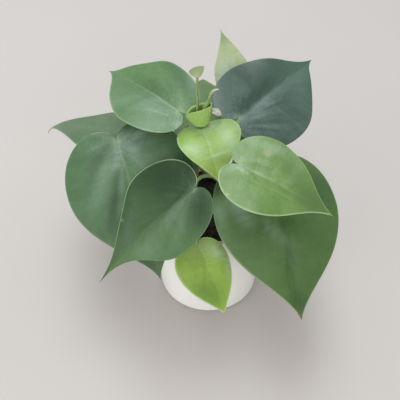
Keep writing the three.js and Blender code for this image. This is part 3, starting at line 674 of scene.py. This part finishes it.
# Blades and petioles
def soft_rays(s, side, seed):
    """Uneven low folds that fan out from the petiole, between -1 and 1: a function of the vein's place."""
    random = np.random.default_rng(seed)
    height = np.zeros_like(s)
    for way in (-1, 1):
        for turns in RAY_TURNS:
            swing = np.sin(2 * np.pi * (turns * random.uniform(0.85, 1.15) * s + random.uniform(0, 1)))
            height += np.where(side == way, swing / len(RAY_TURNS), 0)
    return height


def hollow_depth(leaf, reach, across):
    """Depth of the soft hollow along the midrib."""
    depth, width = leaf["hollow"]
    return depth * bell(across, width) * unit(reach / 0.15) * unit((1 - reach) / 0.3)


def fold_and_shading_fields(folds_and_shading, along, across):
    """Depth of a leaf's folds, and the painted sheen and painted shade of its strokes. A stroke is widest and
    strongest past its middle.
    """
    depth, light, dark = (np.zeros_like(along) for _ in range(3))
    for x, y, end_x, end_y, width, painted_light, *deep in folds_and_shading:
        gap, place = from_line(along, across, (x, y), (end_x, end_y))
        shape = bell(gap, width * (0.8 + 0.5 * place)) * (0.4 + 0.6 * np.sin(np.pi * place))
        depth += sum(deep) * shape
        light += max(painted_light, 0) * shape
        dark += max(-painted_light, 0) * shape
    return depth, light, dark


def blade_grid(leaf):
    """A blade's grid of points, from lobes to tip and from margin to margin, and where each point lies."""
    length, width = leaf["size"]
    grid = SimpleNamespace(scale=max(length / 100, LEAST_SCALE), small=SMALL_RELIEF if leaf["small"] else 1)
    along = int(round(ALONG_STEPS * grid.scale / 4) * 4)
    outward = int(round(OUTWARD_STEPS * grid.scale))
    inner = np.linspace(0, 1, outward + 1)[:-1] ** INNER_POWER * MARGIN_SHARES[0]
    shares = np.concatenate([inner, MARGIN_SHARES])
    s, q = np.meshgrid(np.linspace(0, 1, along + 1), [*-shares[:0:-1], *shares], indexing="ij")
    grid.s, grid.q = s, np.abs(q)
    grid.side = np.where(q < 0, -1, 1)
    _, grid.along, grid.across = blade_points(leaf, grid.side, s, grid.q, np.zeros_like(s))
    veins = (vein_distance(leaf, side, grid.along, grid.across) for side in (1, -1))
    grid.near_vein, grid.vein_share = (np.where(grid.side > 0, *halves) for halves in zip(*veins))
    grid.reach = grid.along / length
    end_along, end_across = margin(leaf, s)
    grid.to_margin = (1 - grid.q) * np.hypot((end_along - vein_foot(s)) * length, end_across * width / 2)
    grid.from_base = np.hypot(grid.along, grid.across)
    return grid


def blade_relief(leaf, grid, fold_depth, seed):
    """How far the upper and the lower skin lie from the middle of the blade."""
    rib = leaf["groove"] * grid.small * unit(1 - grid.reach) ** 0.6 * (grid.reach > -0.01)
    rib = rib * bell(grid.across, RIB_WIDTH * grid.small)
    open_fade = unit(grid.from_base / BASE_FADE) * unit(grid.to_margin / MARGIN_FADE)
    open_fade = open_fade * unit((1 - grid.reach) / TIP_FADE)
    vein = bell(grid.near_vein, VEIN_WIDTH * (1 - 0.45 * grid.vein_share)) * unit(1.15 - grid.vein_share)
    vein = vein * open_fade * grid.small
    sheet = leaf["ray"] * soft_rays(grid.s, grid.side, seed) * open_fade * grid.scale
    sheet -= hollow_depth(leaf, grid.reach, grid.across) + fold_depth * unit(grid.to_margin / FOLD_FADE)
    half = BLADE_THICKNESS / 2 * np.clip(np.sqrt(grid.to_margin / EDGE_WIDTH), 0.3, 1)
    upper = half + sheet - VEIN_DEPTHS[0] * vein - rib
    lower = -half + sheet - VEIN_DEPTHS[1] * vein - RIB_BELOW * rib
    return upper, lower


def blade_skin(leaf, grid, painted_light, painted_shade):
    """What the material reads at each point of a blade."""
    reach, side = grid.reach, grid.side

    def by_half(pair):
        return np.where(side > 0, pair[1], pair[0])

    # Painted shading of the halves: one half lighter or darker than the other, as the light falls on them
    middle_shading = sum(leaf["halves"]) / 2
    painted_shading = middle_shading + (by_half(leaf["halves"]) - middle_shading) * unit(grid.across / HALF_BLEND)
    rib = bell(grid.across, LINE_WIDTH * grid.small * (1.15 - unit(reach)))
    rib = rib * unit(1.1 - reach) * (reach > -0.02)
    pale_edge = np.maximum(by_half(leaf["rims"]), by_half(leaf["lobe_rims"]) * (grid.s < LOBE_RIM_END))
    spot = np.zeros_like(reach)
    for along, across, radius, strength in leaf["marks"]:
        gap = np.hypot(grid.along - along, side * grid.across - across)
        spot = np.maximum(spot, strength * unit(1.4 - gap / radius))
    return {
        "vein": bell(grid.near_vein, LINE_WIDTH - 0.25 * grid.vein_share) * unit(1 - grid.vein_share) ** 1.3,
        "rib": np.maximum(leaf["rib"] * rib, 0.4 * bell(grid.from_base, BASE_RADIUS)),
        "rim": unit(1.2 - grid.to_margin / RIM_WIDTH) * pale_edge * unit(6 * np.sin(np.pi * grid.s)),
        "dry": unit((reach - 1 + leaf["tip"]) / (0.6 * leaf["tip"])),
        "crinkle": 0.25 + 0.75 * bell(grid.from_base, CRINKLE_RADIUS),
        "painted_shading": painted_shading * (1 - painted_shade), "painted_sheen": painted_light, "spot": spot, "reach": reach,
        "ray": grid.s * STREAKS + side * HALF_APART, "outward": grid.q * STREAKS_OUTWARD,
    }


def blade_faces(rows, columns):
    """Faces of the upper skin, the lower skin and the margin that joins them."""
    count = rows * columns
    faces = []
    for start in range(0, count - columns, columns):
        for a in range(start, start + columns - 1):
            b, c, d = a + 1, a + columns, a + columns + 1
            faces += [(a, c, d, b), (count + a, count + b, count + d, count + c)]
        end = start + columns - 1
        faces.append((start, count + start, count + start + columns, start + columns))
        faces.append((end + columns, count + end + columns, count + end, end))
    return faces


def blade_mesh(leaf, seed):
    grid = blade_grid(leaf)
    # Depth of the folds, and the painted sheen and painted shade of the strokes
    fold_depth, painted_light, painted_shade = fold_and_shading_fields(leaf["folds_and_shading"], grid.along, grid.side * grid.across)
    points = []
    for lift in blade_relief(leaf, grid, fold_depth, seed):
        points.append(blade_points(leaf, grid.side, grid.s, grid.q, lift)[0].reshape(-1, 3))
    skin = blade_skin(leaf, grid, painted_light, painted_shade)
    attributes = {k: np.tile(v.ravel(), 2) for k, v in skin.items()}
    attributes["under"] = np.repeat([0, 1], grid.s.size)
    return (np.concatenate(points), blade_faces(*grid.s.shape)), attributes


def petiole_root(leaf):
    """Where a petiole starts, inside its vine or in the sheath."""
    if "root" in leaf:
        return np.array(leaf["root"], float)
    name, height = leaf["vine"]
    line = smooth_line(VINES[name][1], 200)
    return line[np.argmax(line[:, 2] >= height)] if line[-1, 2] >= height else line[-1]


def petiole_mesh(leaf):
    """The petiole, from inside the vine to the blade and on as a fading ridge under the midrib."""
    radius = leaf["petiole"]
    points, ridge_points, ridge_reach, sides = 40, 12, 0.3, 14

    def under_blade(s, sunk):
        return blade_points(leaf, 1, s, 0, -BLADE_THICKNESS - sunk)[0]

    share = np.linspace(0, 1, points)
    rise, reach = np.array([leaf["rise"], leaf["reach"]], float)
    path = list(curve(petiole_root(leaf), rise, reach, under_blade(0.001, radius), share[:, None]))
    knee = 0.12 * bell(share - 0.97, 0.03)
    radii = list(radius * (1.22 - 0.42 * share + knee))
    for fade in np.linspace(0.1, 1, ridge_points):
        foot = ridge_reach * fade
        ahead = (max(foot - VEIN_SLOW * VEIN_START, 0) / (1 - VEIN_SLOW)) ** (1 / VEIN_POWER)
        thickness = radius * 0.7 * (1 - fade) + 0.12
        sunk = 0.35 * radius + 0.65 * thickness + hollow_depth(leaf, foot, 0)
        path.append(under_blade(VEIN_START + (1 - VEIN_START) * ahead, sunk))
        radii.append(thickness)
    return tube(path, radii, sides)


def build_leaves():
    stem, young_stem = stem_material("petiole_skin"), stem_material("young_petiole_skin")
    for seed, (name, measures) in enumerate(LEAVES.items()):
        leaf = {**LEAF_DEFAULTS, **measures}
        leaf.update(midrib=midrib(leaf), axes=leaf_axes(leaf))
        shape, attributes = blade_mesh(leaf, seed)
        material = leaf_material(f"{name}_skin", leaf, seed * 7 + 1)
        make_piece(f"{name}_blade", name, leaf["slot"], shape, material, WELD, **attributes)
        shape = petiole_mesh(leaf)
        make_piece(f"{name}_petiole", name, "vine_skin", shape, young_stem if leaf["small"] else stem)


# Vines, with a knot just below each petiole and a narrower tip
KNOT = 0.35
KNOT_WIDTH = 1.4
KNOT_BELOW = 1.5
VINE_SIDES = 24


def build_vines():
    material = stem_material("vine_skin")
    for name, (radius, points) in VINES.items():
        path = smooth_line(points, 120)
        radii = np.full(len(path), radius, float)
        for leaf in LEAVES.values():
            vine, height = leaf.get("vine", (None, None))
            if vine == name:
                radii += KNOT * bell(path[:, 2] - height + KNOT_BELOW, KNOT_WIDTH)
        radii *= np.where(np.linspace(0, 1, len(path)) > 0.985, 0.8, 1)
        make_piece(name + "_stem", name, "vine_skin", tube(path, radii, VINE_SIDES), material)


# Pot and soil. A rise of the soil's surface has a number of waves, the spread of their pitch, and its height.
POT_SIDES = 192
FOOT_STEPS = 10
RIM_STEPS = 16
SOIL_RINGS = 60
SOIL_SIDES = 180
SOIL_RISES = [(14, 0.16, 0.9), (24, 0.7, 0.35)]
CRUMBS = 420


def pot_inner_radius(height):
    wall_foot = POT["foot_radius"] + POT["foot_round"]
    return wall_foot + (POT["rim_radius"] - wall_foot) * height / POT["height"] - POT["wall"]


def pot_material():
    skin = Skin("pot_glaze")
    cloud = skin.noise("glaze")
    skin.blend(cloud)
    skin.paint(skin.noise("speck"), GLAZE_SPECK, 0.72, 0.8, 0, 0.2)
    # Painted shade on the pot's inside wall
    inside_shade = skin.mix(skin.span(skin.noise("inside_shade"), 0.3, 0.7), *INSIDE_SHADE_COLOURS)
    skin.paint(skin.read("soiled"), inside_shade, 0.2, 0.9)
    skin.rough = skin.span(cloud, 0.3, 0.7, *skin.rough)
    return skin.finished(skin.noise("dents"), "glaze")


def build_pot():
    height, foot, rounding = POT["height"], POT["foot_radius"], POT["foot_round"]
    ring, recess = POT["foot_ring"], POT["recess"]
    profile = [(0, recess), (foot - ring - 2, recess), (foot - ring - 1, recess / 2), (foot - ring, 0)]
    for angle in np.linspace(0, math.pi / 2, FOOT_STEPS + 1):
        profile.append((foot + rounding * math.sin(angle), rounding * (1 - math.cos(angle))))
    wall_foot = foot + rounding
    for share in np.linspace(0.08, 0.96, 22):
        profile.append((wall_foot + (POT["rim_radius"] - wall_foot) * share, height * share))
    inner = pot_inner_radius(height)
    middle, half = (POT["rim_radius"] + inner) / 2, (POT["rim_radius"] - inner) / 2
    for angle in np.linspace(0, math.pi, RIM_STEPS + 1):
        profile.append((middle + half * math.cos(angle), height - POT["rim_round"] * (1 - math.sin(angle))))
    outside = len(profile)
    for share in np.linspace(0.96, 0.1, 14):
        profile.append((pot_inner_radius(height * share), height * share))
    floor, corner = POT["floor"], POT["corner"]
    floor_radius = pot_inner_radius(floor)
    profile += [(floor_radius - corner / 4, floor + corner / 4), (floor_radius - corner, floor), (0, floor)]
    inside = np.arange(len(profile)) >= outside
    # Where the pot's inside wall gets its painted shade
    soiled = np.concatenate([inside[:1], np.repeat(inside[1:-1], POT_SIDES), inside[-1:]])
    make_piece("pot_body", "pot", "pot_glaze", turned(profile, POT_SIDES), pot_material(), soiled=soiled)


def soil_material():
    skin = Skin("potting_mix")
    skin.blend(skin.noise("soil"), 0.35, 0.7)
    skin.paint(skin.noise("grit"), SOIL_GRIT, 0.7, 0.76)
    return skin.finished(skin.noise("crumb"), "soil")


def build_soil():
    random = np.random.default_rng(11)
    gap, corner = SOIL["gap"], POT["corner"]
    edge = pot_inner_radius(SOIL["top"]) - gap
    rises = []
    for count, pitch, height in SOIL_RISES:
        waves = [(random.normal(0, pitch, 2), random.uniform(0, 6.28)) for _ in range(count)]
        rises.append((height / math.sqrt(count), waves))

    def surface(x, y):
        share = np.hypot(x, y) / edge
        rise = sum(height * sum(np.sin(x * k[0] + y * k[1] + p) for k, p in waves) for height, waves in rises)
        return SOIL["top"] + SOIL["crown"] * (1 - share**2) + rise * unit((1 - share) * 8)

    profile = [(edge * ring / SOIL_RINGS, 0) for ring in range(SOIL_RINGS + 1)]
    low = POT["floor"] + gap
    profile.append((pot_inner_radius(low + corner) - gap, low + corner))
    profile += [(pot_inner_radius(low) - corner - gap, low), (0, low)]
    points, faces = turned(profile, SOIL_SIDES)
    points = np.array(points, float)
    top = 1 + SOIL_RINGS * SOIL_SIDES
    points[:top, 2] = surface(*points[:top, :2].T)
    points, faces = list(points), [face[::-1] for face in faces]

    lump_points, lump_faces = icosphere(1)
    for _ in range(CRUMBS):
        radius = random.uniform(0.4, 1.7) ** 1.2
        angle, share = random.uniform(0, 2 * math.pi), math.sqrt(random.uniform(0, 0.9))
        x, y = edge * share * math.cos(angle), edge * share * math.sin(angle)
        stretch = random.uniform(0.55, 1.3, 3)
        turn, _ = np.linalg.qr(random.normal(0, 1, (3, 3)))
        shape = lump_points * random.uniform(0.75, 1.2, (len(lump_points), 1)) * stretch * radius
        start = len(points)
        points += list(shape @ turn + np.array([x, y, float(surface(x, y)) + 0.25 * radius]))
        faces += [tuple(start + i for i in f) for f in lump_faces]
    make_piece("soil_surface", "soil", "potting_soil", (points, faces), soil_material())


# Growing tip: the sheath, with a thinner wall than in the model's source, the unopened leaf and the dry scale
SHEATH = {
    "foot": (-6.5, 12.3, 151.7), "lean": (-1.3, 0.2), "foot_size": (5.2, 3.7), "flare": (3.9, 0.5),
    "ease": 0.7, "height": 14.3, "slant": 3.2, "corner": 5.3, "corner_power": 6, "wall": 0.75,
    "floor_share": 0.22, "sides": 96, "steps": 26,
}
SPIKE = {
    "points": [
        (-3.8, 12.6, 155.8), (-3.6, 12.6, 165), (-1.4, 12.9, 171),
        (0.3, 13.6, 176), (2.3, 13.8, 178.8), (5.3, 14, 179.8),
    ],
    "radii": [1.8, 2, 1.3, 1.15, 0.9, 0.4], "steps": 70, "sides": 20,
}
DRY_SCALE = {
    "centre": (4.35, 13.9, 161), "size": (3.8, 3.1, 1.5), "turn": (0.2, 0.55, 0.3),
    "swells": ((1.7, 0.12), (4, 0.07), (9, 0.035)), "waves": 5,
}


def sheath_material():
    skin = Skin("sheath_skin")
    streak = skin.noise("sheath", skin.combined(skin.read("turn"), skin.read("share"), 0.5))
    skin.blend(streak)
    # Painted shade on the inside of the cup
    skin.paint(skin.times(skin.read("inside"), 0.7), SHEATH_INSIDE_SHADE)
    skin.paint(skin.times(skin.read("rim"), 0.6), SHEATH_RIM)
    return skin.finished(streak, "sheath")


def build_sheath():
    sides, steps = SHEATH["sides"], SHEATH["steps"]
    angles = around(sides)
    foot, lean = SHEATH["foot"], SHEATH["lean"]

    def ring(share, inset):
        ease = share ** SHEATH["ease"]
        wide, deep = (size + more * ease - inset for size, more in zip(SHEATH["foot_size"], SHEATH["flare"]))
        drop = SHEATH["corner"] * unit(-np.cos(angles)) ** SHEATH["corner_power"]
        reach = SHEATH["height"] + SHEATH["slant"] * np.cos(angles) - drop
        x = foot[0] + lean[0] * share + wide * np.cos(angles)
        y = foot[1] + lean[1] * share + deep * np.sin(angles)
        return np.stack([x, y, foot[2] + reach * share], axis=1)

    outer = np.linspace(0, 1, steps + 1)
    inner = 1 + (SHEATH["floor_share"] - 1) * outer
    insets = SHEATH["wall"] * unit(outer * 9)
    rings = [ring(t, 0) for t in outer] + [ring(t, d) for t, d in zip(inner, insets)][1:]
    floor_height = foot[2] + SHEATH["height"] * SHEATH["floor_share"]
    points = np.concatenate(rings + [[foot], [(foot[0], foot[1], floor_height)]])
    count = len(rings)
    low = count * sides
    faces = ring_quads(count, sides) + fan(low, 0, sides, True) + fan(low + 1, low - sides, sides)
    shares = np.concatenate([np.repeat(outer, sides), np.repeat(inner[1:], sides), [0, 0]])
    values = {
        "share": shares, "rim": unit((shares - 0.9) / 0.1),
        "inside": np.concatenate([np.zeros((steps + 1) * sides), np.ones(steps * sides), [0, 1]]),
        "turn": np.concatenate([np.tile(angles, count), [0, 0]]),
    }
    make_piece("sheath_cup", "sheath", "leaf_lime", (points, faces), sheath_material(), **values)


def build_spike():
    path = smooth_line(SPIKE["points"], SPIKE["steps"])
    share = np.linspace(0, 1, len(path))
    radii = np.interp(share, np.linspace(0, 1, len(SPIKE["radii"])), SPIKE["radii"])
    shape = tube(path, radii, SPIKE["sides"])
    skin = Skin("spike_skin")
    streak = skin.noise("fibres", skin.stretched(SPIKE_FIBRES))
    skin.blend(skin.read("reach"), 0.5, 0.95)
    skin.paint(streak, SPIKE_STREAK, 0.4, 0.8, 0, 0.4)
    material = skin.finished(streak, "stem")
    reach = np.repeat(share, SPIKE["sides"])
    make_piece("spike_roll", "leaf_spike", "leaf_pale", shape, material, reach=reach)


def build_dry_scale():
    random = np.random.default_rng(5)
    shape, faces = icosphere(4)
    swell = np.ones(len(shape))
    for frequency, amount in DRY_SCALE["swells"]:
        for _ in range(DRY_SCALE["waves"]):
            direction = random.normal(0, frequency, 3)
            swell += amount * np.abs(np.sin(shape @ direction + random.uniform(0, 6.28))) - amount * 0.6
    shape = shape * swell[:, None] * np.array(DRY_SCALE["size"])
    for axis, angle in enumerate(DRY_SCALE["turn"]):
        c, s = math.cos(angle), math.sin(angle)
        plane = [(axis + 1) % 3, (axis + 2) % 3]
        shape[:, plane] = shape[:, plane] @ np.array([(c, s), (-s, c)])
    skin = Skin("dry_paper")
    cloud = skin.noise("paper")
    skin.blend(cloud, 0.35, 0.7)
    material = skin.finished(cloud, "paper")
    shape = (shape + np.array(DRY_SCALE["centre"]), faces)
    make_piece("dry_scrap", "dry_scale", "dry_scale", shape, material)


# Stage: a plain pale floor, and soft boxes as in a room with a long skylight and low windows on the left.
# Each has its place and what it faces in metres, its width and height, its radiance and its colour.
LIGHTS = {
    "skylight_back": ((-0.03, 0.5, 1.75), (-0.03, 0.5, 0), (0.62, 1), 6.6, (0.86, 0.96, 1)),
    "skylight_far": ((-0.03, 1.3, 1.75), (-0.03, 1.3, 0), (0.62, 0.58), 3, (0.86, 0.96, 1)),
    "skylight_front": ((-0.06, -0.63, 1.75), (-0.06, -0.63, 0), (0.62, 1.24), 3.2, (0.9, 0.97, 1)),
    "window_left": ((-1.15, 1.05, 0.42), (0, 0, 0.1), (1, 0.5), 2.8, (0.95, 0.98, 1)),
    "window_front": ((-1.15, -1, 0.5), (0, 0, 0.1), (1.4, 0.7), 2.8, (1, 0.99, 0.97)),
    "room_front": ((0, -1.6, 0.55), (0, 0, 0.1), (1.6, 0.8), 1.6, (1, 0.99, 0.97)),
    "room_right": ((1.6, 0.15, 0.45), (0, 0, 0.1), (1.6, 0.5), 0.8, (1, 0.98, 0.95)),
}
ROOM_LIGHT = 0.75
ROOM_COLOUR = (0.97, 0.985, 1, 1)
FLOOR_RADIUS = 1.6
FLOOR_SIDES = 128

# Camera: its place in metres, its tilt from straight down in degrees, its lens and its sensor in millimetres
CAMERA = {"place": (-0.00714, -0.3297, 0.4185), "tilt": 45, "lens": 55.35, "sensor": 36}


def build_floor():
    bpy.ops.mesh.primitive_circle_add(vertices=FLOOR_SIDES, radius=FLOOR_RADIUS, fill_type="NGON")
    floor = bpy.context.active_object
    floor.name = "floor"
    skin = Skin("floor_paint")
    skin.colour = skin.mix(skin.noise("floor"), skin.low, skin.high)
    floor.data.materials.append(skin.finished())


def build_lights():
    for name, (place, target, size, radiance, colour) in LIGHTS.items():
        light = bpy.data.lights.new(name, "AREA")
        light.shape = "RECTANGLE"
        light.size, light.size_y = size
        light.energy = radiance * math.pi * size[0] * size[1]
        light.color = colour
        obj = add_object(name, light)
        obj.location = place
        obj.rotation_euler = (Vector(target) - Vector(place)).to_track_quat("-Z", "Y").to_euler()
    world = bpy.data.worlds.new("room")
    world.use_nodes = True
    background = world.node_tree.nodes["Background"]
    background.inputs["Color"].default_value = ROOM_COLOUR
    background.inputs["Strength"].default_value = ROOM_LIGHT
    bpy.context.scene.world = world


def build_camera():
    data = bpy.data.cameras.new("camera")
    data.lens = CAMERA["lens"]
    data.sensor_width = CAMERA["sensor"]
    camera = add_object("camera", data)
    camera.location = CAMERA["place"]
    camera.rotation_euler = (math.radians(CAMERA["tilt"]), 0, 0)
    bpy.context.scene.camera = camera
    bpy.context.scene.view_settings.view_transform = "Standard"


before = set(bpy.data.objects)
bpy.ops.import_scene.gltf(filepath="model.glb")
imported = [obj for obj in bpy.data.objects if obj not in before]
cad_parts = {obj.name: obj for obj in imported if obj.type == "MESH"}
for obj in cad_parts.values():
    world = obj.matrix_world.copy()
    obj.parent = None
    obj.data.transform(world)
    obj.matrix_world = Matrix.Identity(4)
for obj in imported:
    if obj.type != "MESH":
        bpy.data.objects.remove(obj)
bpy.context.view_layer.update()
build_leaves()
build_vines()
build_pot()
build_soil()
build_sheath()
build_spike()
build_dry_scale()
build_floor()
build_lights()
build_camera()
